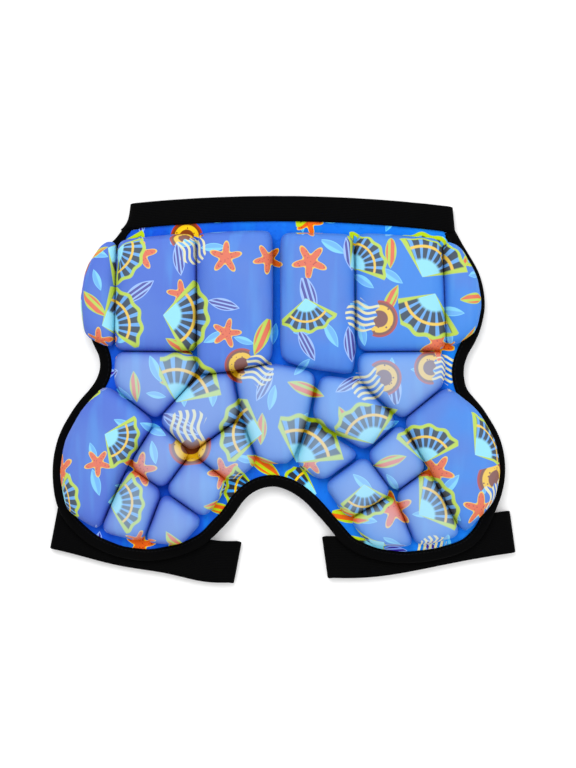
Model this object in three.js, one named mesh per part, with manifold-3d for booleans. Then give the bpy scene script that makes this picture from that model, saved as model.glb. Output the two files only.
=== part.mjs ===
// A padded hip and tailbone protector in a child's size, lying flat with its pads up.
// It is a butterfly-shaped panel of sewn-in foam pads with a bound edge, a waistband of
// elastic sewn to its top and a loop of elastic for each thigh sewn under its two lobes.
// Millimetres, +Z up, +Y towards the waistband, the origin under the middle of it all.
import * as THREE from "three";
import Module from "manifold-3d";

// The padded panel
const panelHalfWidth = 176;
const panelLength = 268;
const sheetThickness = 2.4;

// The foam pads under the cloth
const padHeight = 18;
const grooveWidth = 2.2;
const padCornerReach = 6;
const padCornerMostShare = 0.42;
const padShoulder = 4.5;

// How far a pad bulges past the panel's edge, or stops short of it where negative
const wingProud = { left: 3, right: -3.6 };
const lobeProud = { left: -6.8, right: -5 };

// How much further the pads by the middle stand back from their grooves, and the tailbone pad
const innerSetBack = { left: 0.2, right: 1.3 };
const tailboneSetBack = 0.7;

// The binding that wraps the panel's edge
const bindingWidth = 9.4;
const bindingWall = 1;
const bindingEaseShare = 0.6;

// The elastic of the waist and of the thighs
const waistbandWidth = 20;
const waistbandWall = 1.6;
const waistbandRise = 7.4;
const waistbandFlareShare = 0.018;
const waistbandOverlap = 8;
const legStrapWidth = 33;
const legStrapWall = 1.6;

// The room left open inside each flattened loop, and the fit between sewn pieces
const loopRoom = 4.8;
const sewnGap = 0.3;
const tuckGap = 0.6;
const tuckInset = 2;

// How finely the curves are cut up
const edgeSteps = 96;
const measuresPerStep = 10;
const cornerSteps = 3;
const bandRunSteps = 12;
const strapRunSteps = 4;
const foldSteps = 6;

// The panel's outer edge, as shares of the half width and of the length above the hem
const edgeRows = {
  waist_end: { left: [-0.7, 0.976], right: [0.777, 0.966] },
  wing_shoulder: { left: [-0.783, 0.929], right: [0.805, 0.932] },
  wing_upper: { left: [-0.856, 0.859], right: [0.879, 0.844] },
  wing_side: { left: [-0.88, 0.766], right: [0.902, 0.754] },
  wing_heel: { left: [-0.861, 0.667], right: [0.874, 0.67] },
  notch: { left: [-0.816, 0.591], right: [0.812, 0.585] },
  notch_low: { left: [-0.834, 0.536], right: [0.819, 0.515] },
  lobe_shoulder: { left: [-0.925, 0.46], right: [0.889, 0.456] },
  lobe_upper: { left: [-1.002, 0.367], right: [0.97, 0.362] },
  lobe_side: { left: [-1.027, 0.262], right: [0.992, 0.268] },
  lobe_lower: { left: [-0.992, 0.146], right: [0.962, 0.175] },
  hem_outer: { left: [-0.854, 0.052], right: [0.845, 0.049] },
  hem: { left: [-0.619, 0.007], right: [0.54, 0] },
  hem_inner: { left: [-0.385, 0.041], right: [0.305, 0.038] },
  arch_side: { left: [-0.243, 0.122], right: [0.173, 0.128] },
  arch_shoulder: { left: [-0.146, 0.201], right: [0.071, 0.194] },
};
const archAcrossShare = -0.04;
const archUpShare = 0.224;

// Where the grooves between the pads meet, as shares of the same two sizes
const grooveRows = {
  waist_outer: { left: [-0.737, 0.946], right: [0.708, 0.949] },
  waist_mid: { left: [-0.385, 0.967], right: [0.323, 0.968] },
  waist_centre: { left: [-0.042, 0.975], right: [-0.02, 0.974] },
  hip_outer: { left: [-0.748, 0.62], right: [0.726, 0.62] },
  hip_mid: { left: [-0.385, 0.617], right: [0.33, 0.617] },
  back_low: { left: [-0.381, 0.547], right: [0.33, 0.543] },
  seat_top: { left: [-0.223, 0.562], right: [0.159, 0.559] },
  back_centre: { left: [-0.042, 0.587], right: [-0.02, 0.587] },
  side_low: { left: [-0.752, 0.515], right: [0.721, 0.521] },
  side_tip: { left: [-0.562, 0.416], right: [0.527, 0.415] },
  seat_in: { left: [-0.184, 0.428], right: [0.117, 0.422] },
  seat_tip: { left: [-0.407, 0.322], right: [0.365, 0.32] },
  cleft: { left: [-0.108, 0.288], right: [0.042, 0.287] },
  inner_low: { left: [-0.232, 0.234], right: [0.177, 0.231] },
  thigh_in_low: { left: [-0.345, 0.128], right: [0.288, 0.128] },
  thigh_tip: { left: [-0.531, 0.213], right: [0.493, 0.204] },
  thigh_out: { left: [-0.686, 0.285], right: [0.644, 0.277] },
  hem_mid: { left: [-0.619, 0.061], right: [0.593, 0.047] },
  hem_low: { left: [-0.451, 0.052], right: [0.389, 0.052] },
  hem_out: { left: [-0.816, 0.093], right: [0.801, 0.082] },
  lobe_top: { left: [-0.792, 0.527], right: [0.73, 0.521] },
};

// The pads: the groove corners round each one, then the points of the edge that it reaches
const padRows = [
  { name: "pad_wing", grooves: ["hip_outer", "waist_outer"],
    edge: ["wing_shoulder", "wing_upper", "wing_side", "wing_heel"], proud: wingProud },
  { name: "pad_hip", grooves: ["waist_outer", "waist_mid", "hip_mid", "hip_outer"] },
  { name: "pad_seat", grooves: ["waist_mid", "waist_centre", "back_centre", "seat_top", "back_low"],
    setBack: innerSetBack },
  { name: "pad_flank", grooves: ["hip_outer", "hip_mid", "back_low", "side_tip", "side_low"] },
  { name: "pad_buttock", grooves: ["back_low", "seat_top", "seat_in", "seat_tip", "side_tip"],
    setBack: innerSetBack },
  { name: "pad_fork", grooves: ["seat_in", "cleft", "inner_low", "seat_tip"], setBack: innerSetBack },
  { name: "pad_lobe", grooves: ["hem_out", "thigh_out", "side_tip", "lobe_top"],
    edge: ["lobe_shoulder", "lobe_upper", "lobe_side", "lobe_lower"], proud: lobeProud },
  { name: "pad_thigh_upper", grooves: ["side_tip", "seat_tip", "thigh_tip", "thigh_out"] },
  { name: "pad_thigh_inner", grooves: ["seat_tip", "inner_low", "thigh_in_low", "thigh_tip"] },
  { name: "pad_thigh_lower", grooves: ["thigh_out", "thigh_tip", "hem_mid", "hem_out"] },
  { name: "pad_thigh_hem", grooves: ["thigh_tip", "thigh_in_low", "hem_low", "hem_mid"] },
];
const tailboneGrooves = ["back_centre", "seat_top", "seat_in", "cleft"];

// The rise of a pad's side: share of the height, and share of the shoulder that it is drawn in
const padSections = [
  { height: 0, drawnIn: 0.1 },
  { height: 0.3, drawnIn: 0 },
  { height: 0.62, drawnIn: 0.08 },
  { height: 0.84, drawnIn: 0.4 },
  { height: 0.96, drawnIn: 1 },
];
const crownHeightShare = 0.99;
const crownWidthShare = 0.5;

// The two ends of each thigh loop, as shares of the panel's half width and length
const legStrapRows = [
  { name: "leg_strap_left", from: [-1.025, 0.102], to: [-0.202, -0.001] },
  { name: "leg_strap_right", from: [0.188, 0.014], to: [1.029, 0.091] },
];

const cloth = { roughness: 0.85, metalness: 0 };
const padCloth = new THREE.MeshStandardMaterial({ name: "printed_cloth", color: 0x6f9ae2, ...cloth });
const panelCloth = new THREE.MeshStandardMaterial({ name: "panel_cloth", color: 0x2f62cf, ...cloth });
const blackElastic = new THREE.MeshStandardMaterial({ name: "black_elastic", color: 0x17171a, ...cloth });
const blackBinding = new THREE.MeshStandardMaterial({ name: "black_binding", color: 0x1b1b1f, ...cloth });

function panelPoint([across, up]) {
  return new THREE.Vector2(across * panelHalfWidth, up * panelLength);
}

// A closed body from rings of points that follow each other: its two ends are filled in,
// or the last ring meets the first. Triangles are turned over if they face inwards.
function bodyFromRings(rings, ends) {
  const count = rings[0].length;
  const positions = rings.flat().flatMap((point) => [point.x, point.y, point.z]);
  const triangles = [];
  const spans = ends ? rings.length - 1 : rings.length;
  for (let ring = 0; ring < spans; ring += 1) {
    const here = ring * count;
    const next = ((ring + 1) % rings.length) * count;
    for (let i = 0; i < count; i += 1) {
      const j = (i + 1) % count;
      triangles.push([here + i, here + j, next + j], [here + i, next + j, next + i]);
    }
  }
  if (ends) {
    const last = (rings.length - 1) * count;
    for (const [a, b, c] of ends) {
      triangles.push([c, b, a], [last + a, last + b, last + c]);
    }
  }
  return closedGeometry(positions, triangles);
}

function closedGeometry(positions, triangles) {
  const corner = (index) => new THREE.Vector3().fromArray(positions, index * 3);
  const volume = triangles.reduce((sum, [a, b, c]) => sum + corner(a).dot(corner(b).cross(corner(c))), 0);
  const facing = volume > 0 ? triangles : triangles.map(([a, b, c]) => [a, c, b]);
  const geometry = new THREE.BufferGeometry();
  geometry.setAttribute("position", new THREE.Float32BufferAttribute(positions, 3));
  geometry.setIndex(facing.flat());
  return geometry;
}

// The panel's outer edge from the left end of the waist, round both lobes, to the right end
function edgeStations() {
  const left = Object.values(edgeRows).map((row) => panelPoint(row.left));
  const right = Object.values(edgeRows).map((row) => panelPoint(row.right)).reverse();
  const points = [...left, panelPoint([archAcrossShare, archUpShare]), ...right];
  const places = points.map((point) => new THREE.Vector3(point.x, point.y, 0));
  const curve = new THREE.CatmullRomCurve3(places, false, "centripetal");
  curve.arcLengthDivisions = edgeSteps * measuresPerStep;
  return Array.from({ length: edgeSteps + 1 }, (_, i) => {
    const point = curve.getPointAt(i / edgeSteps);
    const tangent = curve.getTangentAt(i / edgeSteps);
    return { point: new THREE.Vector2(point.x, point.y), inward: new THREE.Vector2(-tangent.y, tangent.x) };
  });
}

// A section swept along the panel's edge; the section is [inward from the edge, height] pairs
function edgeSweep(stations, section) {
  const rings = stations.map(({ point, inward }) => section.map(([depth, height]) => {
    const place = point.clone().addScaledVector(inward, depth);
    return new THREE.Vector3(place.x, place.y, height);
  }));
  const outline = section.map(([depth, height]) => new THREE.Vector2(depth, height));
  return bodyFromRings(rings, THREE.ShapeUtils.triangulateShape(outline, []));
}

// The binding's section is a U that holds the sheet's edge, with its outer corners eased
function bindingGeometry(stations) {
  const under = -sewnGap - bindingWall;
  const over = sheetThickness + sewnGap + bindingWall;
  const ease = bindingWall * bindingEaseShare;
  return edgeSweep(stations, [
    [ease, under],
    [bindingWidth, under],
    [bindingWidth, -sewnGap],
    [bindingWall, -sewnGap],
    [bindingWall, sheetThickness + sewnGap],
    [bindingWidth, sheetThickness + sewnGap],
    [bindingWidth, over],
    [ease, over],
    [0, over - ease],
    [0, under + ease],
  ]);
}

// The room that the pads leave for the binding under them
function bindingRoom(stations) {
  const over = sheetThickness + bindingWall + 2 * sewnGap;
  const inner = bindingWidth + sewnGap;
  const outer = -sewnGap;
  return edgeSweep(stations, [[outer, 0], [inner, 0], [inner, over], [outer, over]]);
}

// The waistband's middle line is an arc between its two folded ends, just above the binding's ends
function waistbandLine() {
  const lift = waistbandWidth / 2 + tuckGap;
  const from = panelPoint(edgeRows.waist_end.left).add(new THREE.Vector2(tuckInset, lift));
  const to = panelPoint(edgeRows.waist_end.right).add(new THREE.Vector2(-tuckInset, lift));
  return loopLine(from, to, waistbandRise, waistbandWidth, waistbandFlareShare);
}

// A place on a loop of elastic, from its distance along the middle line and across the width
function loopLine(from, to, rise, width, flare) {
  const chord = to.clone().sub(from);
  const along = chord.clone().normalize();
  const across = new THREE.Vector2(-along.y, along.x);
  const middle = from.clone().add(to).multiplyScalar(0.5);
  const halfChord = chord.length() / 2;
  const radius = rise > 0 ? (halfChord ** 2 + rise ** 2) / (2 * rise) : Infinity;
  const halfRun = rise > 0 ? radius * Math.asin(halfChord / radius) : halfChord;
  const place = (run, side) => {
    const stretched = run * (1 - (flare * side) / (width / 2));
    const turn = rise > 0 ? stretched / radius : 0;
    const sideways = rise > 0 ? (radius + side) * Math.sin(turn) : stretched;
    const up = rise > 0 ? (radius + side) * Math.cos(turn) - radius + rise : side;
    return middle.clone().addScaledVector(along, sideways).addScaledVector(across, up);
  };
  return { halfRun, halfWidth: width / 2, place };
}

// A flattened loop of elastic: a lower run, a fold, an upper run and a fold, all of one wall
function loopGeometry(line, wall, room, runSteps) {
  const bend = (room + wall) / 2;
  const straight = line.halfRun - bend - wall / 2;
  const path = [];
  for (let i = 0; i < runSteps; i += 1) {
    path.push({ run: -straight + (2 * straight * i) / runSteps, turn: -Math.PI / 2 });
  }
  for (let i = 0; i < foldSteps; i += 1) {
    path.push({ run: straight, turn: -Math.PI / 2 + (Math.PI * i) / foldSteps });
  }
  for (let i = 0; i < runSteps; i += 1) {
    path.push({ run: straight - (2 * straight * i) / runSteps, turn: Math.PI / 2 });
  }
  for (let i = 0; i < foldSteps; i += 1) {
    path.push({ run: -straight, turn: Math.PI / 2 + (Math.PI * i) / foldSteps });
  }
  const rings = path.map(({ run, turn }) => {
    const at = (reach, side) => {
      const place = line.place(run + reach * Math.cos(turn), side);
      return new THREE.Vector3(place.x, place.y, bend + wall / 2 + reach * Math.sin(turn));
    };
    const outer = bend + wall / 2;
    const inner = bend - wall / 2;
    return [
      at(outer, -line.halfWidth),
      at(outer, line.halfWidth),
      at(inner, line.halfWidth),
      at(inner, -line.halfWidth),
    ];
  });
  return bodyFromRings(rings, null);
}

// The printed cloth that all pads are sewn to, with a tab that reaches under the waistband
function sheetGeometry(stations, waistLine, waistRoom) {
  const depth = bindingWall + sewnGap;
  const edge = stations.map(({ point, inward }) => point.clone().addScaledVector(inward, depth));
  const tabRun = waistLine.halfRun - waistRoom - tuckInset;
  const below = -waistLine.halfWidth - tuckGap;
  const under = -waistLine.halfWidth + waistbandOverlap;
  const tab = [waistLine.place(tabRun, below)];
  for (let i = 0; i <= bandRunSteps; i += 1) {
    tab.push(waistLine.place(tabRun - (2 * tabRun * i) / bandRunSteps, under));
  }
  tab.push(waistLine.place(-tabRun, below));
  const outline = [...edge, ...tab];
  const level = (height) => outline.map((point) => new THREE.Vector3(point.x, point.y, height));
  return bodyFromRings([level(0), level(sheetThickness)], THREE.ShapeUtils.triangulateShape(outline, []));
}

// The corners of a pad on one side of the panel, in order round it
function padCorners(row, side) {
  const grooves = row.grooves.map((name) => panelPoint(grooveRows[name][side]));
  const edge = (row.edge ?? []).map((name) => {
    const [before, here, after] = edgeNeighbours(name, side);
    const outward = after.clone().sub(before).normalize().rotateAround(new THREE.Vector2(), Math.PI / 2);
    const outwardOnSide = side === "left" ? outward.negate() : outward;
    // The groove lies half outside the pad's own outline, so the corner moves out by that half too
    return here.clone().addScaledVector(outwardOnSide, row.proud[side] + grooveWidth / 2);
  });
  return [...grooves, ...edge];
}

function edgeNeighbours(name, side) {
  const names = Object.keys(edgeRows);
  const index = names.indexOf(name);
  return [index - 1, index, index + 1].map((i) => panelPoint(edgeRows[names[i]][side]));
}

// A pad's outline: every side moved in by one distance, every corner rounded off
function padOutline(corners, inset) {
  const turned = THREE.ShapeUtils.area(corners) < 0 ? [...corners].reverse() : corners;
  const next = (list, i, step) => list[(i + step + list.length) % list.length];
  const moved = turned.map((corner, i) => {
    const arriving = corner.clone().sub(next(turned, i, -1)).normalize();
    const leaving = next(turned, i, 1).clone().sub(corner).normalize();
    const inwards = new THREE.Vector2(-arriving.y - leaving.y, arriving.x + leaving.x);
    return corner.clone().addScaledVector(inwards, inset / (1 + arriving.dot(leaving)));
  });
  return moved.flatMap((corner, i) => {
    const before = next(moved, i, -1);
    const after = next(moved, i, 1);
    const shortest = Math.min(corner.distanceTo(before), corner.distanceTo(after));
    const reach = Math.min(padCornerReach, padCornerMostShare * shortest);
    const start = before.clone().sub(corner).setLength(reach).add(corner);
    const end = after.clone().sub(corner).setLength(reach).add(corner);
    return new THREE.QuadraticBezierCurve(start, corner, end).getPoints(cornerSteps);
  });
}

// A pad: straight-sided at its foot, rounded at its shoulder and a little crowned on top
function padGeometry(corners, setBack) {
  const floor = sheetThickness + sewnGap;
  const rings = padSections.map(({ height, drawnIn }) => (
    padOutline(corners, grooveWidth / 2 + setBack + drawnIn * padShoulder)
      .map((point) => new THREE.Vector3(point.x, point.y, floor + height * padHeight))
  ));
  const top = rings[rings.length - 1];
  const middle = top.reduce((sum, point) => sum.add(point), new THREE.Vector3()).divideScalar(top.length);
  const crownLevel = floor + crownHeightShare * padHeight;
  rings.push(top.map((point) => middle.clone().lerp(point, crownWidthShare).setZ(crownLevel)));
  const positions = rings.flat().flatMap((point) => [point.x, point.y, point.z]);
  positions.push(middle.x, middle.y, floor, middle.x, middle.y, floor + padHeight);
  const count = top.length;
  const foot = rings.length * count;
  const triangles = [];
  for (let i = 0; i < count; i += 1) {
    const j = (i + 1) % count;
    for (let ring = 0; ring < rings.length - 1; ring += 1) {
      const low = ring * count;
      const high = low + count;
      triangles.push([low + i, low + j, high + j], [low + i, high + j, high + i]);
    }
    const crown = foot - count;
    triangles.push([j, i, foot], [crown + i, crown + j, foot + 1]);
  }
  return closedGeometry(positions, triangles);
}

const wasm = await Module();
wasm.setup();

function solidOf(geometry) {
  const vertProperties = geometry.attributes.position.array;
  const triVerts = Uint32Array.from(geometry.index.array);
  return new wasm.Manifold(new wasm.Mesh({ numProp: 3, vertProperties, triVerts }));
}

function geometryOf(solid) {
  const mesh = solid.getMesh();
  const geometry = new THREE.BufferGeometry();
  geometry.setAttribute("position", new THREE.BufferAttribute(mesh.vertProperties, 3));
  geometry.setIndex(new THREE.BufferAttribute(mesh.triVerts, 1));
  return geometry;
}

function namedMesh(name, geometry, material) {
  const mesh = new THREE.Mesh(geometry, material);
  mesh.name = name;
  return mesh;
}

// The panel with its pads and binding, in its own level frame
function paddedPanel(stations, waistLine, waistRoom) {
  const panel = new THREE.Group();
  panel.add(namedMesh("back_panel", sheetGeometry(stations, waistLine, waistRoom), panelCloth));
  panel.add(namedMesh("edge_binding", bindingGeometry(stations), blackBinding));
  const room = solidOf(bindingRoom(stations));
  const addPad = (name, corners, setBack = 0) => {
    const pad = solidOf(padGeometry(corners, setBack)).subtract(room);
    panel.add(namedMesh(name, geometryOf(pad), padCloth));
  };
  for (const side of ["left", "right"]) {
    padRows.forEach((row) => addPad(`${row.name}_${side}`, padCorners(row, side), row.setBack?.[side]));
  }
  const tailbone = { grooves: tailboneGrooves };
  const tailboneCorners = [...padCorners(tailbone, "left"), ...padCorners(tailbone, "right").reverse()];
  addPad("pad_tailbone", tailboneCorners, tailboneSetBack);
  return panel;
}

function protector() {
  const whole = new THREE.Group();
  const stations = edgeStations();
  const waistLine = waistbandLine();

  // The thigh loops lie on the floor, so the panel's lower end lies on their upper runs
  for (const { name, from, to } of legStrapRows) {
    const line = loopLine(panelPoint(from), panelPoint(to), 0, legStrapWidth, 0);
    whole.add(namedMesh(name, loopGeometry(line, legStrapWall, loopRoom, strapRunSteps), blackElastic));
  }
  const legEnd = legStrapRows.map(({ from, to }) => Math.max(from[1], to[1]));
  const legY = Math.max(...legEnd) * panelLength + legStrapWidth / 2;
  const legZ = 2 * legStrapWall + loopRoom + 2 * sewnGap + bindingWall;

  // The panel's upper end lies in the waistband's loop, under the upper run
  const waistY = waistLine.place(waistLine.halfRun, -waistLine.halfWidth).y;
  const waistZ = waistbandWall + loopRoom;
  const waistRoom = loopRoom + sheetThickness + sewnGap;
  const waistLoop = loopGeometry(waistLine, waistbandWall, waistRoom, bandRunSteps);
  whole.add(namedMesh("waistband", waistLoop, blackElastic));

  const panel = paddedPanel(stations, waistLine, waistRoom);
  panel.rotation.x = Math.atan2(waistZ - legZ, waistY - legY);
  panel.position.z = legZ - legY * Math.tan(panel.rotation.x);
  whole.add(panel);

  const box = new THREE.Box3().setFromObject(whole, true);
  const middle = box.getCenter(new THREE.Vector3());
  whole.position.set(-middle.x, -middle.y, -box.min.z);
  return whole;
}

export default protector();
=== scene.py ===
# %% [markdown]
# A padded hip and tailbone protector for a child, lying flat with its pads up. The frame holds
# its plain solids at their real size. This lesson dresses each of them: the foam pads get
# stretched printed cloth, the panel gets grooves between the pads, and the edge gets tape and
# elastic. Everything is in metres, in the frame's own axes: +Y is towards the waistband.

# %% Load the frame
import math

import bmesh
import bpy
import numpy as np
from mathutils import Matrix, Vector
from mathutils.geometry import delaunay_2d_cdt


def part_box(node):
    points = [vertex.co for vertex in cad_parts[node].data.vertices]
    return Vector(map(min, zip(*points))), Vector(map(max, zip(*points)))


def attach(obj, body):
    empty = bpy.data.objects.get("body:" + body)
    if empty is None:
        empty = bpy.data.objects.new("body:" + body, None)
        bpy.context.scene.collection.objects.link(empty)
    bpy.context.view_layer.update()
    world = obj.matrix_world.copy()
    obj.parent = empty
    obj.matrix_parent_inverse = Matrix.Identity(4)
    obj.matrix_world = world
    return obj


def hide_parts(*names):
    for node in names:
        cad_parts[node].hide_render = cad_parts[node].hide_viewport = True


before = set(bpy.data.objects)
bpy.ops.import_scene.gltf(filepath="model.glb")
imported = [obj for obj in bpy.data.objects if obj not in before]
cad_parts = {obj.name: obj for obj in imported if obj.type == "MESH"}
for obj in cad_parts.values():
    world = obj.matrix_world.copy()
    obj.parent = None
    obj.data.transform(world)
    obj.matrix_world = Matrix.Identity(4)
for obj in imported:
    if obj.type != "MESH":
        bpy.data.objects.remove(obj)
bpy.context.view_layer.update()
MM = 0.001

# %% [markdown]
# The photograph looks straight down, so the camera hangs above the middle of the picture. Its
# lens is long, which keeps the pads' sides from showing more on the left than on the right. The
# lens comes from the real height that the picture takes in at the panel's level.

# %% Camera above the panel
PICTURE_HEIGHT = 599 * MM
PICTURE_MIDDLE = Vector((4.1 * MM, 4.7 * MM, 20 * MM))
CAMERA_HEIGHT = 1.5
SENSOR = 36.0

camera_data = bpy.data.cameras.new("camera")
camera_data.sensor_width = SENSOR
camera_data.lens = SENSOR * CAMERA_HEIGHT / PICTURE_HEIGHT
camera = bpy.data.objects.new("camera", camera_data)
camera.location = PICTURE_MIDDLE + Vector((0, 0, CAMERA_HEIGHT))
bpy.context.scene.collection.objects.link(camera)
bpy.context.scene.camera = camera
bpy.context.scene.view_settings.view_transform = "Standard"
print("lens", round(camera_data.lens, 1), "mm")

# %% [markdown]
# A product photo of black elastic on white needs light from all round, or the blacks lose their
# edges. One large lamp above the waistband and a weaker one from the side leave soft shade on
# the lower side of each pad, and a pale sky fills the rest.

# %% Studio lights
LAMPS = {
    "lamp_above": {"place": (-0.35, 0.75, 1.3), "size": 0.9, "watts": 12.5},
    "lamp_side": {"place": (1.1, -0.3, 0.9), "size": 0.8, "watts": 4},
}
SKY_STRENGTH = 0.8


def area_lamp(name, place, size, watts):
    lamp_data = bpy.data.lights.new(name, "AREA")
    lamp_data.size = size
    lamp_data.energy = watts
    lamp = bpy.data.objects.new(name, lamp_data)
    lamp.location = place
    lamp.rotation_euler = (-Vector(place)).to_track_quat("-Z", "Y").to_euler()
    bpy.context.scene.collection.objects.link(lamp)
    return lamp


def pale_sky():
    sky = bpy.data.worlds.new("pale_sky")
    sky.use_nodes = True
    background = sky.node_tree.nodes["Background"]
    background.inputs["Color"].default_value = (1, 1, 1, 1)
    background.inputs["Strength"].default_value = SKY_STRENGTH
    bpy.context.scene.world = sky


for lamp_name, lamp_shape in LAMPS.items():
    area_lamp(lamp_name, **lamp_shape)
pale_sky()
print(len(LAMPS), "lamps under a sky of strength", SKY_STRENGTH)

# %% [markdown]
# The protector lies on white paper. A matt floor that glows faintly stays close to white, and
# soft shade still shows on it beside the elastic. The floor belongs to the picture and isn't a
# part of the product.

# %% Pale floor
FLOOR_REACH = 4.0
FLOOR_GREY = (0.93, 0.93, 0.93, 1)
FLOOR_GLOW = 0.12


def pale_floor():
    mesh = bpy.data.meshes.new("floor")
    corners = [(x * FLOOR_REACH, y * FLOOR_REACH, 0) for x, y in ((-1, -1), (1, -1), (1, 1), (-1, 1))]
    mesh.from_pydata(corners, [], [(0, 1, 2, 3)])
    floor = bpy.data.objects.new("floor", mesh)
    bpy.context.scene.collection.objects.link(floor)
    paint = bpy.data.materials.new("pale_floor")
    paint.use_nodes = True
    shader = paint.node_tree.nodes["Principled BSDF"]
    shader.inputs["Base Color"].default_value = FLOOR_GREY
    shader.inputs["Roughness"].default_value = 0.9
    shader.inputs["Emission Color"].default_value = (1, 1, 1, 1)
    shader.inputs["Emission Strength"].default_value = FLOOR_GLOW
    mesh.materials.append(paint)
    return floor


pale_floor()
print("floor", 2 * FLOOR_REACH, "m across")

# %% [markdown]
# Node trees read best as formulas. This small helper adds a node, sets its inputs from plain
# numbers or from other nodes' sockets, and hands back its output, so that a pattern below is a
# few lines of arithmetic.

# %% Node helper
class Nodes:
    """Adds nodes to one tree and links them."""

    def __init__(self, tree):
        self.tree = tree

    def add(self, kind, inputs=None, output=0, **settings):
        node = self.tree.nodes.new(kind)
        for name, value in settings.items():
            setattr(node, name, value)
        for key, value in (inputs or {}).items():
            self.feed(node.inputs[key], value)
        return node.outputs[output]

    def feed(self, socket, value):
        if isinstance(value, bpy.types.NodeSocket):
            self.tree.links.new(value, socket)
        else:
            socket.default_value = value

    def math(self, operation, a, b=0.0):
        return self.add("ShaderNodeMath", {0: a, 1: b}, operation=operation)

    def plus(self, a, b):
        return self.math("ADD", a, b)

    def minus(self, a, b):
        return self.math("SUBTRACT", a, b)

    def times(self, a, b):
        return self.math("MULTIPLY", a, b)

    def wave(self, value, rate, low, high):
        """A row of soft stripes: 1 where the sine of value times rate is above high."""
        return self.ramp(self.math("SINE", self.times(value, rate)), low, high)

    def distance(self, x, y):
        return self.math("SQRT", self.plus(self.times(x, x), self.times(y, y)))

    def inside(self, depth):
        """1 where depth, measured from a motif's edge inwards, is above zero."""
        return self.ramp(depth, 0.0, 0.03)

    def edge(self, depth, width):
        """1 along the inner side of a motif's edge."""
        return self.minus(1.0, self.ramp(depth, width * 0.7, width))

    def mix(self, share, a, b):
        node = self.tree.nodes.new("ShaderNodeMix")
        node.data_type = "RGBA"
        for index, value in ((0, share), (6, a), (7, b)):
            self.feed(node.inputs[index], value)
        return node.outputs[2]

    def ramp(self, value, low, high):
        """0 at low, 1 at high and a soft step between them; high may be the smaller number."""
        levels = {0: value, 1: low, 2: high, 3: 0.0, 4: 1.0}
        return self.add("ShaderNodeMapRange", levels, interpolation_type="SMOOTHSTEP")

    def parts(self, vector):
        node = self.tree.nodes.new("ShaderNodeSeparateXYZ")
        self.feed(node.inputs[0], vector)
        return node.outputs

    def group(self, tree, inputs, output=0):
        node = self.tree.nodes.new("ShaderNodeGroup")
        node.node_tree = tree
        for key, value in inputs.items():
            self.feed(node.inputs[key], value)
        return node.outputs[output]


# %% [markdown]
# An effect that several materials share is made once, as a shader group with named sockets, and
# placed in every material that needs it. Colours are chosen as they look on screen and turned
# into the linear light that shaders reckon in.

# %% Shader groups and colours
FLOAT, COLOUR, VECTOR = "NodeSocketFloat", "NodeSocketColor", "NodeSocketVector"


def shader_group(name, inputs, outputs):
    tree = bpy.data.node_groups.new(name, "ShaderNodeTree")
    for label, kind, value in inputs:
        socket = tree.interface.new_socket(name=label, in_out="INPUT", socket_type=kind)
        if value is not None:
            socket.default_value = value
    for label, kind in outputs:
        tree.interface.new_socket(name=label, in_out="OUTPUT", socket_type=kind)
    return tree, Nodes(tree), tree.nodes.new("NodeGroupInput"), tree.nodes.new("NodeGroupOutput")


def srgb(red, green, blue):
    """A colour as it looks on screen, 0 to 255, turned into the linear light that shaders use."""
    shares = [x / 255 for x in (red, green, blue)]
    return (*[x / 12.92 if x <= 0.04045 else ((x + 0.055) / 1.055) ** 2.4 for x in shares], 1.0)


print("mid grey in linear light", round(srgb(128, 128, 128)[0], 3))

# %% [markdown]
# The cloth's print is a loose scatter of sea life of this lesson's own design: ribbed shells,
# starfish, jellyfish, striped leaves of weed and pale slips of kelp. Drawing each by hand would
# take an image. Instead every motif is a small formula in a unit disc, which tells how deep inside
# the motif's edge a point lies, and its rim, stripes and body are soft steps of such measures.

# %% Shells
LIME, YELLOW = srgb(180, 204, 34), srgb(232, 190, 36)
INK, SKY, PALE_SKY = srgb(40, 42, 50), srgb(96, 160, 226), srgb(142, 216, 236)


def shell_colour(n, place, ground):
    """A fan shell: a dark fan with thin sky-blue ribs, a pale hinge and a lime rim."""
    x, y, _ = n.parts(place)
    low = n.plus(y, 0.6)
    reach = n.distance(x, low)
    turn = n.math("ARCTAN2", x, low)
    scallop = n.times(n.math("COSINE", n.times(turn, 14.0)), 0.04)
    sides = n.minus(1.0, n.math("ABSOLUTE", turn))
    depth = n.math("MINIMUM", n.minus(n.plus(1.42, scallop), reach), sides)
    body = n.mix(n.wave(turn, 22.0, 0.2, 0.6), INK, SKY)
    body = n.mix(n.ramp(n.math("ABSOLUTE", n.minus(reach, 0.95)), 0.06, 0.03), body, YELLOW)
    body = n.mix(n.ramp(reach, 0.62, 0.5), body, PALE_SKY)
    edged = n.mix(n.edge(depth, 0.17), body, LIME)
    return n.mix(n.inside(depth), ground, edged)


# %% [markdown]
# A starfish's reach swells and shrinks five times round. Raising that wave to a power makes its
# arms thin and the notches between them wide. Cell noise gives the rusty grains on its back.

# %% Starfish
ORANGE, RUST = srgb(220, 96, 28), srgb(172, 54, 18)


def star_colour(n, place, ground):
    """A starfish: orange arms with a yellow edge and rusty grains."""
    x, y, _ = n.parts(place)
    arms = n.math("COSINE", n.times(n.math("ARCTAN2", y, x), 5.0))
    bulge = n.math("POWER", n.plus(0.5, n.times(arms, 0.5)), 1.5)
    depth = n.minus(n.plus(0.4, n.times(bulge, 0.5)), n.distance(x, y))
    grains = n.add("ShaderNodeTexVoronoi", {"Vector": place, "Scale": 7.0}, output=0)
    body = n.mix(n.ramp(grains, 0.15, 0.35), RUST, ORANGE)
    edged = n.mix(n.edge(depth, 0.11), body, YELLOW)
    return n.mix(n.inside(depth), ground, edged)


# %% [markdown]
# A jellyfish is two shapes, one over the other: a round bell cut off by a wavy hem, and a skirt
# whose stripes sway as they go down. The skirt is mixed first, so the bell covers its top.

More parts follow.
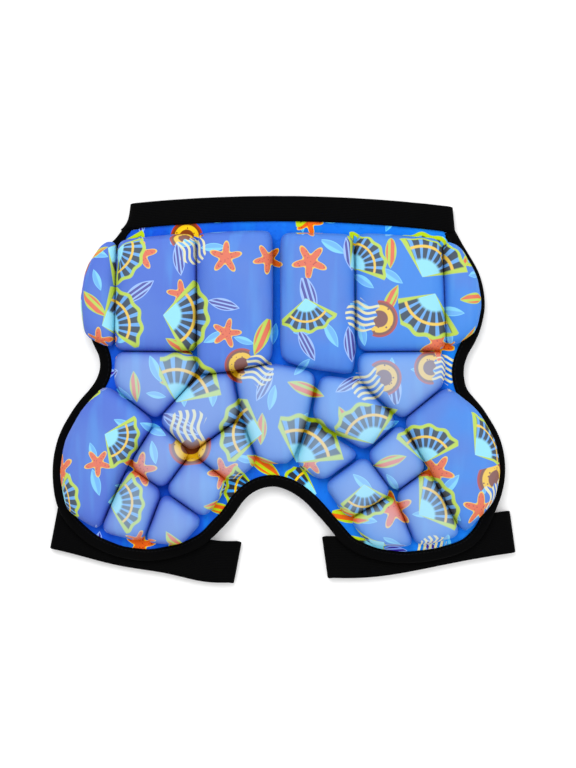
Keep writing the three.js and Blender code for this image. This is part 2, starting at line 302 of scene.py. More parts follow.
# %% Jellyfish
BROWN, CREAM = srgb(124, 66, 40), srgb(222, 216, 168)


def jelly_colour(n, place, ground):
    """A jellyfish: a brown bell with a yellow crescent, over trailing cream ribbons."""
    x, y, _ = n.parts(place)
    circle = n.minus(0.66, n.distance(x, n.minus(y, 0.28)))
    hem = n.plus(n.minus(y, 0.12), n.times(n.math("SINE", n.times(x, 19.0)), 0.05))
    bell = n.math("MINIMUM", circle, hem)
    sway = n.times(n.math("SINE", n.times(y, 7.0)), 0.07)
    aside = n.plus(x, sway)
    spread = n.minus(n.minus(0.5, n.times(y, 0.12)), n.math("ABSOLUTE", aside))
    drop = n.minus(n.plus(y, 0.95), n.times(n.times(x, x), 1.2))
    skirt = n.math("MINIMUM", n.math("MINIMUM", spread, drop), n.minus(0.2, y))
    strand = n.wave(aside, 30.0, -0.1, 0.3)
    below = n.mix(n.times(n.inside(skirt), strand), ground, CREAM)
    spots = n.add("ShaderNodeTexVoronoi", {"Vector": place, "Scale": 7.0}, output=0)
    crescent = n.ramp(n.math("ABSOLUTE", n.minus(circle, 0.27)), 0.11, 0.08)
    body = n.mix(crescent, BROWN, n.mix(n.ramp(spots, 0.2, 0.26), BROWN, YELLOW))
    body = n.mix(n.edge(circle, 0.1), body, RUST)
    return n.mix(n.inside(bell), below, body)


# %% [markdown]
# Weed, kelp and sprigs are one leaf in different inks and with different stripes. The leaf's
# shape is a group of its own, because the print places it three times.

# %% Leaves of weed and kelp
def leaf_group():
    tree, n, given, result = shader_group(
        "leaf_shape", [("Place", VECTOR, None), ("Width", FLOAT, 0.3)], [("Depth", FLOAT)]
    )
    x, y, _ = n.parts(given.outputs["Place"])
    half = n.times(n.minus(1.0, n.times(x, x)), given.outputs["Width"])
    tree.links.new(n.minus(half, n.math("ABSOLUTE", y)), result.inputs["Depth"])
    return tree


LEAF = leaf_group()


def weed_colour(n, place, ground, width, light, dark, stripes):
    """A leaf of weed or kelp: light at its edge, with long stripes down its middle."""
    _, y, _ = n.parts(place)
    depth = n.group(LEAF, {"Place": place, "Width": width})
    striped = n.math("MAXIMUM", n.wave(y, stripes, 0.1, 0.5), n.edge(depth, 0.08))
    return n.mix(n.inside(depth), ground, n.mix(striped, dark, light))


print("leaf group", len(LEAF.nodes), "nodes")

# %% [markdown]
# Voronoi cells give each motif its place, its turn and its kind, so the layout never repeats. A
# cell's own colour is a random number, which picks the motif, turns it and sizes it. Low
# randomness keeps each motif inside its cell, so that few are cut off.

# %% Scattering motifs
CELL_RANDOMNESS = 0.34


def scatter_cell(n, place, pitch, reach, shift):
    """Where a point lies in its cell's motif, in a unit disc, and a random number of that cell."""
    moved = n.add("ShaderNodeVectorMath", {0: place, 1: shift}, operation="ADD")
    cell = n.tree.nodes.new("ShaderNodeTexVoronoi")
    cell.voronoi_dimensions = "2D"
    n.feed(cell.inputs["Vector"], moved)
    n.feed(cell.inputs["Scale"], 1.0 / pitch)
    n.feed(cell.inputs["Randomness"], CELL_RANDOMNESS)
    chance = n.parts(cell.outputs["Color"])
    offset = n.add("ShaderNodeVectorMath", {0: moved, 1: cell.outputs["Position"]}, operation="SUBTRACT")
    size = n.plus(0.85 / reach, n.times(chance[2], 0.4 / reach))
    unit = n.add("ShaderNodeVectorMath", {0: offset, "Scale": size}, operation="SCALE")
    turn = {"Vector": unit, "Angle": n.times(chance[1], 2 * math.pi)}
    return n.add("ShaderNodeVectorRotate", turn, rotation_type="Z_AXIS"), chance[0]


def pick(n, chance, low, high, ground, motif):
    chosen = n.times(n.math("GREATER_THAN", chance, low), n.math("LESS_THAN", chance, high))
    return n.mix(chosen, ground, motif)


# %% [markdown]
# Three scatters are laid over each other: small pale slips, then starfish and leaves about
# 30 mm across, then shells and jellyfish about 45 mm across. Each takes its chances from its own
# cells, and where no motif is picked, the water or the scatter below shows.

# %% The sea print
SLIPS = {"pitch": 23 * MM, "reach": 10 * MM, "shift": (0.4, 0.1, 0)}
BITS = {"pitch": 33 * MM, "reach": 15 * MM, "shift": (0.71, 0.33, 0)}
SPOTS = {"pitch": 48 * MM, "reach": 23 * MM, "shift": (0.13, 0.62, 0)}
LIGHT_KELP, DARK_KELP = srgb(120, 200, 236), srgb(98, 168, 232)
LILAC, VIOLET = srgb(150, 180, 238), srgb(70, 58, 150)


def print_group():
    tree, n, given, result = shader_group(
        "sea_print", [("Place", VECTOR, None), ("Water", COLOUR, srgb(70, 110, 220))], [("Color", COLOUR)]
    )
    place = given.outputs["Place"]
    colour = given.outputs["Water"]
    slip, chance = scatter_cell(n, place, **SLIPS)
    kelp = weed_colour(n, slip, colour, 0.34, LIGHT_KELP, DARK_KELP, 6.0)
    colour = pick(n, chance, 0.0, 0.4, colour, kelp)
    bit, chance = scatter_cell(n, place, **BITS)
    sprig = weed_colour(n, bit, colour, 0.34, LIME, ORANGE, 17.0)
    colour = pick(n, chance, 0.0, 0.2, colour, sprig)
    weed = weed_colour(n, bit, colour, 0.36, LILAC, VIOLET, 30.0)
    colour = pick(n, chance, 0.2, 0.38, colour, weed)
    colour = pick(n, chance, 0.38, 0.58, colour, star_colour(n, bit, colour))
    spot, chance = scatter_cell(n, place, **SPOTS)
    colour = pick(n, chance, 0.0, 0.42, colour, shell_colour(n, spot, colour))
    colour = pick(n, chance, 0.42, 0.74, colour, jelly_colour(n, spot, colour))
    tree.links.new(colour, result.inputs["Color"])
    return tree


SEA_PRINT = print_group()
print("print group", len(SEA_PRINT.nodes), "nodes")

# %% [markdown]
# Knitted cloth is a field of tiny loops. From arm's length only its soft grain and sheen show,
# so the group puts out one bump normal made of crossed waves a little under a millimetre apart,
# broken up by noise. The same group serves the pads and the flat panel.

# %% Fine knit
KNIT_DEPTH = 0.25 * MM


def knit_group():
    tree, n, given, result = shader_group(
        "fine_knit",
        [("Place", VECTOR, None), ("Loop", FLOAT, 0.8 * MM), ("Strength", FLOAT, 0.4)],
        [("Normal", VECTOR), ("Grain", FLOAT)],
    )
    place = given.outputs["Place"]
    loops = n.math("DIVIDE", 2 * math.pi, given.outputs["Loop"])
    x, y, z = n.parts(place)
    sway = n.times(n.add("ShaderNodeTexNoise", {"Vector": place, "Scale": 160.0}), 2.2)
    columns = n.math("SINE", n.plus(n.times(n.plus(x, z), loops), sway))
    rows = n.math("SINE", n.plus(n.times(n.plus(y, z), loops), sway))
    height = n.plus(n.times(n.times(columns, rows), 0.5), 0.5)
    bump = {"Strength": given.outputs["Strength"], "Distance": KNIT_DEPTH, "Height": height}
    tree.links.new(n.add("ShaderNodeBump", bump), result.inputs["Normal"])
    tree.links.new(height, result.inputs["Grain"])
    return tree


FINE_KNIT = knit_group()
print("knit group", len(FINE_KNIT.nodes), "nodes")

# %% [markdown]
# Woven tape and elastic have ribs along them, crossed by the picks of the weft. Both patterns
# have to follow the band round its folds and curves, so the group doesn't read a place in space.
# It reads two measures that the meshes carry: metres along the band and metres across it.

# %% Woven ribs
RIB_DEPTH = 0.3 * MM


def rib_group():
    """Elastic and tape carry their own two measures: metres along them and metres across."""
    tree, n, given, result = shader_group(
        "woven_ribs",
        [
            ("Along", FLOAT, 0.0),
            ("Across", FLOAT, 0.0),
            ("Rib", FLOAT, 1.0 * MM),
            ("Pick", FLOAT, 0.7 * MM),
            ("Strength", FLOAT, 0.5),
        ],
        [("Normal", VECTOR), ("Grain", FLOAT)],
    )
    rib_rate = n.math("DIVIDE", 2 * math.pi, given.outputs["Rib"])
    pick_rate = n.math("DIVIDE", 2 * math.pi, given.outputs["Pick"])
    ribs = n.math("SINE", n.times(given.outputs["Across"], rib_rate))
    picks = n.math("SINE", n.times(given.outputs["Along"], pick_rate))
    ribs = n.plus(n.times(ribs, 0.5), 0.5)
    height = n.times(ribs, n.plus(0.75, n.times(picks, 0.25)))
    bump = {"Strength": given.outputs["Strength"], "Distance": RIB_DEPTH, "Height": height}
    tree.links.new(n.add("ShaderNodeBump", bump), result.inputs["Normal"])
    tree.links.new(height, result.inputs["Grain"])
    return tree


WOVEN_RIBS = rib_group()
print("rib group", len(WOVEN_RIBS.nodes), "nodes")

# %% [markdown]
# The print's ground isn't one flat blue. It runs from deep blue on the left to clear blue on the
# right, with patches of haze and faint upright rays, as in shallow water. Noise at two scales
# mixes four blues, and the motifs are printed over it.

# %% The print's water
SEA_LEFT, SEA_RIGHT = srgb(58, 92, 198), srgb(36, 122, 218)
SEA_HAZE, SEA_RAY = srgb(72, 108, 200), srgb(70, 148, 224)


def sea_water(n, place):
    """The print's ground: deep blue on the left, clear blue on the right, with haze and rays."""
    x, _, _ = n.parts(place)
    drift = n.add("ShaderNodeTexNoise", {"Vector": place, "Scale": 14.0, "Detail": 3.0})
    column = n.add("ShaderNodeMapping", {"Vector": place, "Scale": (80.0, 12.0, 12.0)})
    rays = n.add("ShaderNodeTexNoise", {"Vector": column, "Scale": 1.0, "Detail": 2.0})
    sideways = n.plus(n.times(x, 4.0), n.times(drift, 0.8))
    water = n.mix(n.ramp(sideways, -0.1, 0.9), SEA_LEFT, SEA_RIGHT)
    water = n.mix(n.times(n.ramp(drift, 0.45, 0.68), 0.8), water, SEA_HAZE)
    return n.mix(n.times(n.ramp(rays, 0.5, 0.75), 0.4), water, SEA_RAY)


# %% [markdown]
# Stretched over foam, printed knit opens up and its white ground shows through, and a painted
# highlight adds to it: the tops of the small pads are painted milky. Lower down, the colour is
# painted brighter and more saturated, partly the slack cloth's deeper blue and partly painted
# light that lifts the shade in the grooves. Each mesh carries how high a point stands on its pad,
# from 0 in the groove to 1 on top, how strongly its top is paled by stretch and painted highlight,
# and where it reads the print. The material pales the print with the first two, and puckers the
# pads' walls.

# %% Printed cloth
# The white that the pad tops are paled towards: stretched knit and a painted highlight.
STRETCH_AND_HIGHLIGHT_WHITE = srgb(168, 200, 230)
PUCKER_DEPTH = 1.0 * MM


def new_material(name):
    material = bpy.data.materials.new(name)
    material.use_nodes = True
    shader = material.node_tree.nodes["Principled BSDF"]
    return material, Nodes(material.node_tree), shader


def attribute(n, name):
    node = n.tree.nodes.new("ShaderNodeAttribute")
    node.attribute_name = name
    return node.outputs["Fac"]


def printed_cloth(name):
    material, n, shader = new_material(name)
    place = n.add("ShaderNodeTexCoord", output=3)
    printed = n.add("ShaderNodeAttribute", output=1, attribute_name="print_place")
    cloth_colour = n.group(SEA_PRINT, {"Place": printed, "Water": sea_water(n, printed)})
    rise = attribute(n, "rise")
    paled_by_stretch_and_highlight = n.times(n.ramp(rise, 0.45, 1.0), attribute(n, "stretch_and_highlight"))
    # The tops are paled towards white by their rise: partly the stretched knit, partly a painted highlight.
    cloth_colour = n.mix(paled_by_stretch_and_highlight, cloth_colour, STRETCH_AND_HIGHLIGHT_WHITE)
    # Low on the pads and over the panel the colour is painted brighter and more saturated: partly the slack
    # cloth's deeper blue, partly painted light that lifts the shade in the grooves.
    slack_and_painted_light = n.add("ShaderNodeHueSaturation", {"Saturation": 1.12, "Value": 1.25, "Color": cloth_colour})
    cloth_colour = n.mix(n.ramp(rise, 0.05, 0.6), slack_and_painted_light, cloth_colour)
    knit = n.group(FINE_KNIT, {"Place": place, "Strength": 0.45}, "Normal")
    grain = n.group(FINE_KNIT, {"Place": place, "Strength": 0.45}, "Grain")
    wall = n.add("ShaderNodeMapping", {"Vector": place, "Scale": (190.0, 190.0, 16.0)})
    folds = n.add("ShaderNodeTexNoise", {"Vector": wall, "Scale": 1.0, "Detail": 1.0})
    pucker = n.times(n.ramp(folds, 0.5, 0.8), n.ramp(rise, 0.85, 0.35))
    bump = {"Strength": 0.5, "Distance": PUCKER_DEPTH, "Height": pucker, "Normal": knit}
    n.feed(shader.inputs["Base Color"], cloth_colour)
    n.feed(shader.inputs["Normal"], n.add("ShaderNodeBump", bump))
    n.feed(shader.inputs["Roughness"], n.plus(0.62, n.times(grain, 0.2)))
    shader.inputs["Sheen Weight"].default_value = 0.08
    shader.inputs["Specular IOR Level"].default_value = 0.2
    return material


PAD_CLOTH = printed_cloth("stretched_print")
PANEL_CLOTH = printed_cloth("slack_print")
print(PAD_CLOTH.name, "and", PANEL_CLOTH.name)

# %% [markdown]
# Black elastic and black tape are the same dull yarn, woven at different scales. A photo on
# white swallows nearly all of their grain, so the blacks are very dark, barely shine, and only
# a little fluff catches the light. The tape also shows its row of stitches, as a faint raised
# thread.

# %% Black trims
BLACK_YARN, LIT_YARN, FLUFF, THREAD = srgb(1, 1, 1), srgb(7, 7, 8), srgb(20, 20, 22), srgb(16, 16, 18)
THREAD_WIDTH = 0.5 * MM
THREAD_DEPTH = 0.4 * MM
STITCH_LENGTH = 3.2 * MM
STITCHED_AT = 2.2 * MM


def black_trim(name, rib, pick, strength, stitches):
    """Black elastic or tape; stitches lists how far across it each row of stitches runs."""
    material, n, shader = new_material(name)
    along = attribute(n, "along")
    across = attribute(n, "across")
    ribs = {"Along": along, "Across": across, "Rib": rib, "Pick": pick, "Strength": strength}
    normal = n.group(WOVEN_RIBS, ribs, "Normal")
    grain = n.group(WOVEN_RIBS, ribs, "Grain")
    place = n.add("ShaderNodeTexCoord", output=3)
    fluff = n.add("ShaderNodeTexNoise", {"Vector": place, "Scale": 420.0, "Detail": 3.0})
    colour = n.mix(grain, BLACK_YARN, LIT_YARN)
    colour = n.mix(n.times(n.ramp(fluff, 0.6, 0.8), 0.2), colour, FLUFF)
    for row in stitches:
        beside = n.math("ABSOLUTE", n.minus(across, row))
        thread = n.minus(1.0, n.ramp(beside, THREAD_WIDTH / 2, THREAD_WIDTH))
        mask = n.times(thread, n.wave(along, 2 * math.pi / STITCH_LENGTH, -0.5, -0.2))
        colour = n.mix(mask, colour, THREAD)
        bump = {"Strength": 0.6, "Distance": THREAD_DEPTH, "Height": mask, "Normal": normal}
        normal = n.add("ShaderNodeBump", bump)
    n.feed(shader.inputs["Base Color"], colour)
    n.feed(shader.inputs["Normal"], normal)
    n.feed(shader.inputs["Roughness"], n.plus(0.7, n.times(fluff, 0.2)))
    shader.inputs["Specular IOR Level"].default_value = 0.04
    return material


ELASTIC = black_trim("ribbed_elastic", 1.3 * MM, 1.1 * MM, 0.6, ())
TAPE = black_trim("folded_tape", 0.9 * MM, 0.8 * MM, 0.4, (STITCHED_AT,))
print(ELASTIC.name, "and", TAPE.name)

# %% [markdown]
# The panel lies on the leg elastics at one end and in the waistband at the other, so it is a
# level sheet, very slightly tilted. Fitting a plane through the frame's own back_panel gives the
# height of the cloth's top at any place, which every piece below is measured from.

# %% The level of the cloth
def mesh_points(mesh):
    flat = np.empty(len(mesh.vertices) * 3)
    mesh.vertices.foreach_get("co", flat)
    return flat.reshape(-1, 3)


def sheet_level():
    points = mesh_points(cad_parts["back_panel"].data)
    ones = np.ones(len(points))
    (slope, level), *_ = np.linalg.lstsq(np.column_stack([points[:, 1], ones]), points[:, 2], rcond=None)
    half = np.abs(points[:, 2] - slope * points[:, 1] - level).mean()
    return slope, level + half, 2 * half


SLOPE, LEVEL, SHEET = sheet_level()


def cloth_top(points):
    return LEVEL + SLOPE * points[:, 1]


print("cloth level", round(LEVEL / MM, 2), "mm, thickness", round(SHEET / MM, 2), "mm")

# %% [markdown]
# Every piece below ends as a mesh from a table of points and faces. Small helpers link it, turn
# its faces outwards and store the measures that its material reads.

# %% Mesh helpers
def face_outwards(mesh):
    shape = bmesh.new()
    shape.from_mesh(mesh)
    bmesh.ops.recalc_face_normals(shape, faces=shape.faces)
    shape.to_mesh(mesh)
    shape.free()


def new_piece(name, points, faces):
    mesh = bpy.data.meshes.new(name)
    mesh.from_pydata([tuple(p) for p in points], [], faces)
    mesh.validate()
    piece = bpy.data.objects.new(name, mesh)
    bpy.context.scene.collection.objects.link(piece)
    face_outwards(mesh)
    return piece


def store(piece, name, values):
    layer = piece.data.attributes.new(name, "FLOAT", "POINT")
    layer.data.foreach_set("value", np.asarray(values, dtype=np.float32))


def store_places(piece, name, places):
    layer = piece.data.attributes.new(name, "FLOAT_VECTOR", "POINT")
    layer.data.foreach_set("vector", np.asarray(places, dtype=np.float32).ravel())


def bake_modifiers(piece):
    seen = piece.evaluated_get(bpy.context.evaluated_depsgraph_get())
    mesh = bpy.data.meshes.new_from_object(seen)
    piece.modifiers.clear()
    piece.data = mesh


# %% [markdown]
# A finished piece gets its material and is made smooth. It rides on a body, and the plain solid
# that it stands for is hidden. Nothing here turns on a joint, so all of it rides on the root.


def finish_piece(piece, node, material):
    piece.data.materials.clear()
    piece.data.materials.append(material)
    piece.data.polygons.foreach_set("use_smooth", [True] * len(piece.data.polygons))
    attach(piece, "root")
    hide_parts(node)
    print(piece.name, len(piece.data.polygons), "faces")
    return piece


# %% [markdown]
# The panel's outline is read off the frame: once the flat faces of the plain sheet are merged,
# its top is one polygon whose corners run round the edge in order. Part of that edge is bound
# with tape, and the rest is the tab that is hidden in the waistband, so the two are split.

# %% The panel's outline
WAIST_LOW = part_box("edge_binding")[1].y
WAIST_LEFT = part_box("waistband")[0].x
WAIST_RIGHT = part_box("waistband")[1].x
TAB_INSET = 6 * MM


def top_polygon(node):
    shape = bmesh.new()
    shape.from_mesh(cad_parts[node].data)
    bmesh.ops.remove_doubles(shape, verts=shape.verts, dist=0.01 * MM)
    bmesh.ops.dissolve_limit(shape, angle_limit=math.radians(0.5), verts=shape.verts, edges=shape.edges)
    top = max(shape.faces, key=lambda face: face.calc_area() * (face.normal.z > 0.9))
    corners = np.array([vert.co[:2] for vert in top.verts])
    shape.free()
    return corners


def in_tab(corner):
    high = corner[1] > WAIST_LOW - TAB_INSET
    between = WAIST_LEFT + TAB_INSET < corner[0] < WAIST_RIGHT - TAB_INSET
    return high and between


def split_outline(corners):
    """The bound edge, from the waist's left end round to its right end, and the tab above it."""
    flags = [in_tab(corner) for corner in corners]
    start = next(i for i in range(len(corners)) if flags[i - 1] and not flags[i])
    turned = np.roll(corners, -start, axis=0)
    count = flags.count(False)
    edge, tab = turned[:count], turned[count:]
    if edge[0][0] > edge[-1][0]:
        edge, tab = edge[::-1], tab[::-1]
    return edge, tab


EDGE_CORNERS, TAB_CORNERS = split_outline(top_polygon("back_panel"))
print("outline", len(EDGE_CORNERS), "bound corners and", len(TAB_CORNERS), "in the tab")

# %% [markdown]
# A real hem has no corners. A smooth curve through the outline's points, cut into even steps,
# carries both the sheet and the tape that binds it, and at each step the way into the panel is
# known too.

# %% Smooth paths
EDGE_STATIONS = 560
TAB_STATIONS = 120


def smooth_path(points, count):
    """Evenly spaced points on a smooth curve through the given ones."""
    points = np.asarray(points, dtype=float)
    ends = np.vstack([2 * points[0] - points[1], points, 2 * points[-1] - points[-2]])
    t = np.linspace(0, 1, 8, endpoint=False)[:, None]
    pieces = []
    for p0, p1, p2, p3 in zip(ends, ends[1:], ends[2:], ends[3:]):
        bend = (2 * p0 - 5 * p1 + 4 * p2 - p3) * t**2
        twist = (3 * p1 - p0 - 3 * p2 + p3) * t**3
        pieces.append((2 * p1 + (p2 - p0) * t + bend + twist) / 2)
    fine = np.vstack([*pieces, points[-1:]])
    run = np.concatenate([[0], np.cumsum(np.linalg.norm(np.diff(fine, axis=0), axis=1))])
    even = np.linspace(0, run[-1], count)
    return np.column_stack([np.interp(even, run, fine[:, k]) for k in range(points.shape[1])]), even


def inward_of(path):
    """Unit vectors that point from the edge into the panel, which lies on the path's left."""
    tangent = np.gradient(path, axis=0)
    tangent /= np.linalg.norm(tangent, axis=1)[:, None]
    return np.column_stack([-tangent[:, 1], tangent[:, 0]])


EDGE_PATH, EDGE_RUN = smooth_path(EDGE_CORNERS, EDGE_STATIONS)
EDGE_INWARD = inward_of(EDGE_PATH)
TAB_PATH, _ = smooth_path(TAB_CORNERS, TAB_STATIONS)
print("bound edge", round(EDGE_RUN[-1], 3), "m, from", EDGE_PATH[0].round(3), "to", EDGE_PATH[-1].round(3))

# %% [markdown]
# A foam pad is a block under stretched cloth, and the cloth rounds its edges. Bevels would do
# that evenly, but a real pad keeps its foot in the seam and only its shoulders give way. So each
# plain solid is remeshed evenly and its points are drawn towards their neighbours: at first in
# all directions, to iron out the remesher's steps, and then up and down alone, above the foot.

# %% Rounding the shoulders
IRON_ROUNDS, DOME_ROUNDS = 2, 14
STILL_FOOT = 3 * MM


def smoothed(mesh, points, rounds, shares):
    """Moves each point towards the middle of its neighbours, by its own share each way."""
    edges = np.empty(len(mesh.edges) * 2, dtype=np.int64)
    mesh.edges.foreach_get("vertices", edges)
    a, b = edges.reshape(-1, 2).T
    counts = np.bincount(np.concatenate([a, b]), minlength=len(points))[:, None]
    for _ in range(rounds):
        sums = np.zeros_like(points)
        np.add.at(sums, a, points[b])
        np.add.at(sums, b, points[a])
        points = points + shares * (sums / counts - points)
    return points


def domed(mesh):
    """Irons out the voxels, then rounds the shoulders up and down alone, with the foot held still."""
    points = smoothed(mesh, mesh_points(mesh), IRON_ROUNDS, np.full(3, 0.5))
    standing = np.clip((points[:, 2] - cloth_top(points)) / STILL_FOOT - 0.5, 0, 1)
    level = np.zeros_like(points)
    level[:, 2] = 0.5 * standing
    return smoothed(mesh, points, DOME_ROUNDS, level)


# %% [markdown]
# Cloth that is sewn down round a block bellies a little between its corners. The cloth
# simulation finds that belly by blowing the pad up gently. Its movement is capped afterwards, so
# that neighbours never touch.

# %% Blowing up a pad
SIM_FRAMES = 20
PAD_PRESSURE = 4.0
MOST_SIDEWAYS = 0.4 * MM
MOST_DOWN = 0.2 * MM
MOST_UP = 2.4 * MM


def inflate(pad):
    cloth = pad.modifiers.new("inflate", "CLOTH")
    cloth.settings.use_pressure = True
    cloth.settings.uniform_pressure_force = PAD_PRESSURE
    cloth.settings.effector_weights.gravity = 0.0
    cloth.settings.quality = 4
    cloth.collision_settings.use_collision = False
    cloth.point_cache.frame_start = 1
    cloth.point_cache.frame_end = SIM_FRAMES
    for step in range(1, SIM_FRAMES + 1):
        bpy.context.scene.frame_set(step)
    bake_modifiers(pad)
    bpy.context.scene.frame_set(1)


def capped(before, after):
    move = after - before
    sideways = np.linalg.norm(move[:, :2], axis=1)
    scale = np.minimum(1.0, MOST_SIDEWAYS / np.maximum(sideways, 1e-9))
    move[:, :2] *= scale[:, None]
    move[:, 2] = np.clip(move[:, 2], -MOST_DOWN, MOST_UP)
    return before + move


# %% [markdown]
# The print is laid on from above, so on a steep side it would run into streaks. Between two pads
# the cloth really is drawn down like that, but over the panel's edge it isn't: there each point
# reads the print from further out, as if the side were folded up flat.

# %% The print on the sides
SIDE_REACH = 24 * MM
SIDE_BLEND = 8 * MM
SIDE_UNROLLED = 0.8
STEEP_FROM, STEEP_TO = 0.35, 0.8


def open_sides(points, ways):
    """1 where a pad's side looks out over the panel's edge, 0 where it faces another pad."""
    rim = np.vstack([EDGE_PATH, TAB_PATH])
    outward = np.vstack([-EDGE_INWARD, np.tile([0.0, 1.0], (len(TAB_PATH), 1))])
    gaps = np.linalg.norm(points[:, None, :2] - rim[None], axis=2)
    near = np.clip((SIDE_REACH - gaps.min(axis=1)) / SIDE_BLEND, 0, 1)
    facing = (ways * outward[gaps.argmin(axis=1)]).sum(axis=1)
    return near * np.clip(2 * facing, 0, 1)


def unroll_print(pad, points, ways, steepness):
    """Stores where each point reads the print: further out, the lower it is on an open side."""
    steep = np.clip((steepness - STEEP_FROM) / (STEEP_TO - STEEP_FROM), 0, 1)
    drop = points[:, 2].max() - points[:, 2]
    places = points.copy()
    places[:, :2] += ways * (SIDE_UNROLLED * drop * steep * open_sides(points, ways))[:, None]
    store_places(pad, "print_place", places)


# %% [markdown]
# At its foot a pad's cloth doesn't stop at a wall: it slopes out into the seam, where it meets
# the panel. The foot is pressed down onto the panel and spread by a millimetre or so, and each
# point keeps how far it has risen above the groove, which its material reads.

# %% The foot of a pad
FOOT_REACH = 1.5 * MM
FOOT_PRESSED = 0.9 * MM
FOOT_CLEAR = 0.15 * MM
COVERED_HEIGHT = 19.5 * MM


def settle_foot(pad):
    """Presses the foot onto the panel, spreads it into a slope, and stores each point's rise."""
    points = mesh_points(pad.data)
    normals = np.empty(len(points) * 3)
    pad.data.vertices.foreach_get("normal", normals)
    sideways = normals.reshape(-1, 3)[:, :2]
    lengths = np.linalg.norm(sideways, axis=1)
    sideways = sideways / np.maximum(lengths, 1e-6)[:, None]
    height = points[:, 2] - cloth_top(points)
    top = height.max()
    spread = FOOT_REACH * np.clip(1 - height / top, 0, 1) * np.clip(lengths * 2, 0, 1)
    points[:, :2] += sideways * spread[:, None]
    foot = np.clip(height - FOOT_PRESSED, 0, None)
    points[:, 2] = cloth_top(points) + FOOT_CLEAR + foot * (top / (top - FOOT_PRESSED))
    pad.data.vertices.foreach_set("co", points.ravel())
    pad.data.update()
    store(pad, "rise", np.clip((points[:, 2] - cloth_top(points)) / COVERED_HEIGHT, 0, 1))
    unroll_print(pad, points, sideways, lengths)


# %% [markdown]
# Now the 23 pads can be made, all in one way. The cloth over the broad pads is slacker than the
# cloth over the small ones, so its top is paled less, by stretch and painted highlight alike.

# %% Foam pads under stretched cloth
VOXEL = 2.8 * MM
BROAD_PADS = ("wing", "hip", "seat", "lobe")
# How much a pad's top is paled, by stretch and by a painted highlight: less on the broad, slacker pads.
BROAD_STRETCH_AND_HIGHLIGHT, TIGHT_STRETCH_AND_HIGHLIGHT = 0.14, 0.42


def cloth_pad(node):
    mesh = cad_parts[node].data.copy()
    pad = bpy.data.objects.new(f"{node}_cover", mesh)
    bpy.context.scene.collection.objects.link(pad)
    remesh = pad.modifiers.new("even", "REMESH")
    remesh.mode = "VOXEL"
    remesh.voxel_size = VOXEL
    bake_modifiers(pad)
    start = domed(pad.data)
    pad.data.vertices.foreach_set("co", start.ravel())
    inflate(pad)
    pad.data.vertices.foreach_set("co", capped(start, mesh_points(pad.data)).ravel())
    subdivide = pad.modifiers.new("finer", "SUBSURF")
    subdivide.levels = 1
    subdivide.render_levels = 1
    bake_modifiers(pad)
    settle_foot(pad)
    broad = node.split("_")[1] in BROAD_PADS
    store(pad, "stretch_and_highlight", np.full(len(pad.data.vertices), BROAD_STRETCH_AND_HIGHLIGHT if broad else TIGHT_STRETCH_AND_HIGHLIGHT))
    finish_piece(pad, node, PAD_CLOTH)
    return pad


PAD_NODES = sorted(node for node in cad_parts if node.startswith("pad_"))
PADS = [cloth_pad(node) for node in PAD_NODES]
print(len(PADS), "pads")

# %% [markdown]
# The panel is two layers of knit sewn together between the pads. Seen from above only the
# strips in the grooves and the margins by the hems show, so its mesh is a fine net inside the
# outline, whose points sag a little between the seams. A constrained triangulation fills any
# outline with such a net.

# %% A net inside an outline
def net_inside(outline, spacing):
    """Points of an even net, kept where they lie inside the outline."""
    low, high = outline.min(axis=0), outline.max(axis=0)
    xs = np.arange(low[0] + spacing, high[0], spacing)
    ys = np.arange(low[1] + spacing, high[1], spacing)
    grid = np.array([(x + (j % 2) * spacing / 2, y) for j, y in enumerate(ys) for x in xs])
    inside = np.zeros(len(grid), dtype=bool)
    for (x0, y0), (x1, y1) in zip(outline, np.roll(outline, -1, axis=0)):
        crosses = (y0 > grid[:, 1]) != (y1 > grid[:, 1])
        at = x0 + (grid[:, 1] - y0) * (x1 - x0) / (y1 - y0 + 1e-12)
        inside ^= crosses & (grid[:, 0] < at)
    return grid[inside]


def rim_faces(faces, offset):
    """Walls between the two layers, along every edge that only one face has."""
    seen = {}
    for face in faces:
        for a, b in zip(face, face[1:] + face[:1]):
            seen[(a, b)] = True
    return [(b, a, a + offset, b + offset) for a, b in seen if (b, a) not in seen]


# %% [markdown]
# The net's upper layer lies at the cloth's level and its lower layer one thickness below, and a
# narrow wall joins them along the edge. The panel is slack, so its cloth is not paled by stretch or
# painted highlight and has no rise, which gives all of it the slack colour with its painted light.
# It reads the print straight from above.

# %% The printed panel
NET = 3.2 * MM
RIPPLE = 0.12 * MM
RIPPLES_ACROSS, RIPPLES_UP = 210, 170


def sheet_piece():
    outline = np.vstack([EDGE_PATH[::2], TAB_CORNERS])
    net = net_inside(outline, NET)
    flat = [Vector(p) for p in np.vstack([outline, net])]
    rim = [(i, (i + 1) % len(outline)) for i in range(len(outline))]
    verts, _, faces, *_ = delaunay_2d_cdt(flat, rim, [], 1, 0.01 * MM)
    flat = np.array([tuple(v) for v in verts])
    ripple = RIPPLE * np.sin(flat[:, 0] * RIPPLES_ACROSS) * np.cos(flat[:, 1] * RIPPLES_UP)
    is_net = np.arange(len(flat)) >= len(outline)
    top = np.column_stack([flat, cloth_top(flat) + ripple * is_net])
    under = np.column_stack([flat, cloth_top(flat) - SHEET])
    count = len(flat)
    upper = [tuple(face) for face in faces]
    lower = [tuple(i + count for i in reversed(face)) for face in faces]
    sides = rim_faces(upper, count)
    sheet = new_piece("back_panel_cloth", np.vstack([top, under]), upper + lower + sides)
    store_places(sheet, "print_place", mesh_points(sheet.data))
    store(sheet, "rise", np.zeros(2 * count))
    store(sheet, "stretch_and_highlight", np.zeros(2 * count))
    finish_piece(sheet, "back_panel", PANEL_CLOTH)
    return sheet


SHEET_PIECE = sheet_piece()

# %% [markdown]
# Binding tape is folded over the raw edge and stitched through all layers near its inner rims.
# Its section is drawn once, as a soft U with rounded back and rims pressed down onto the cloth.

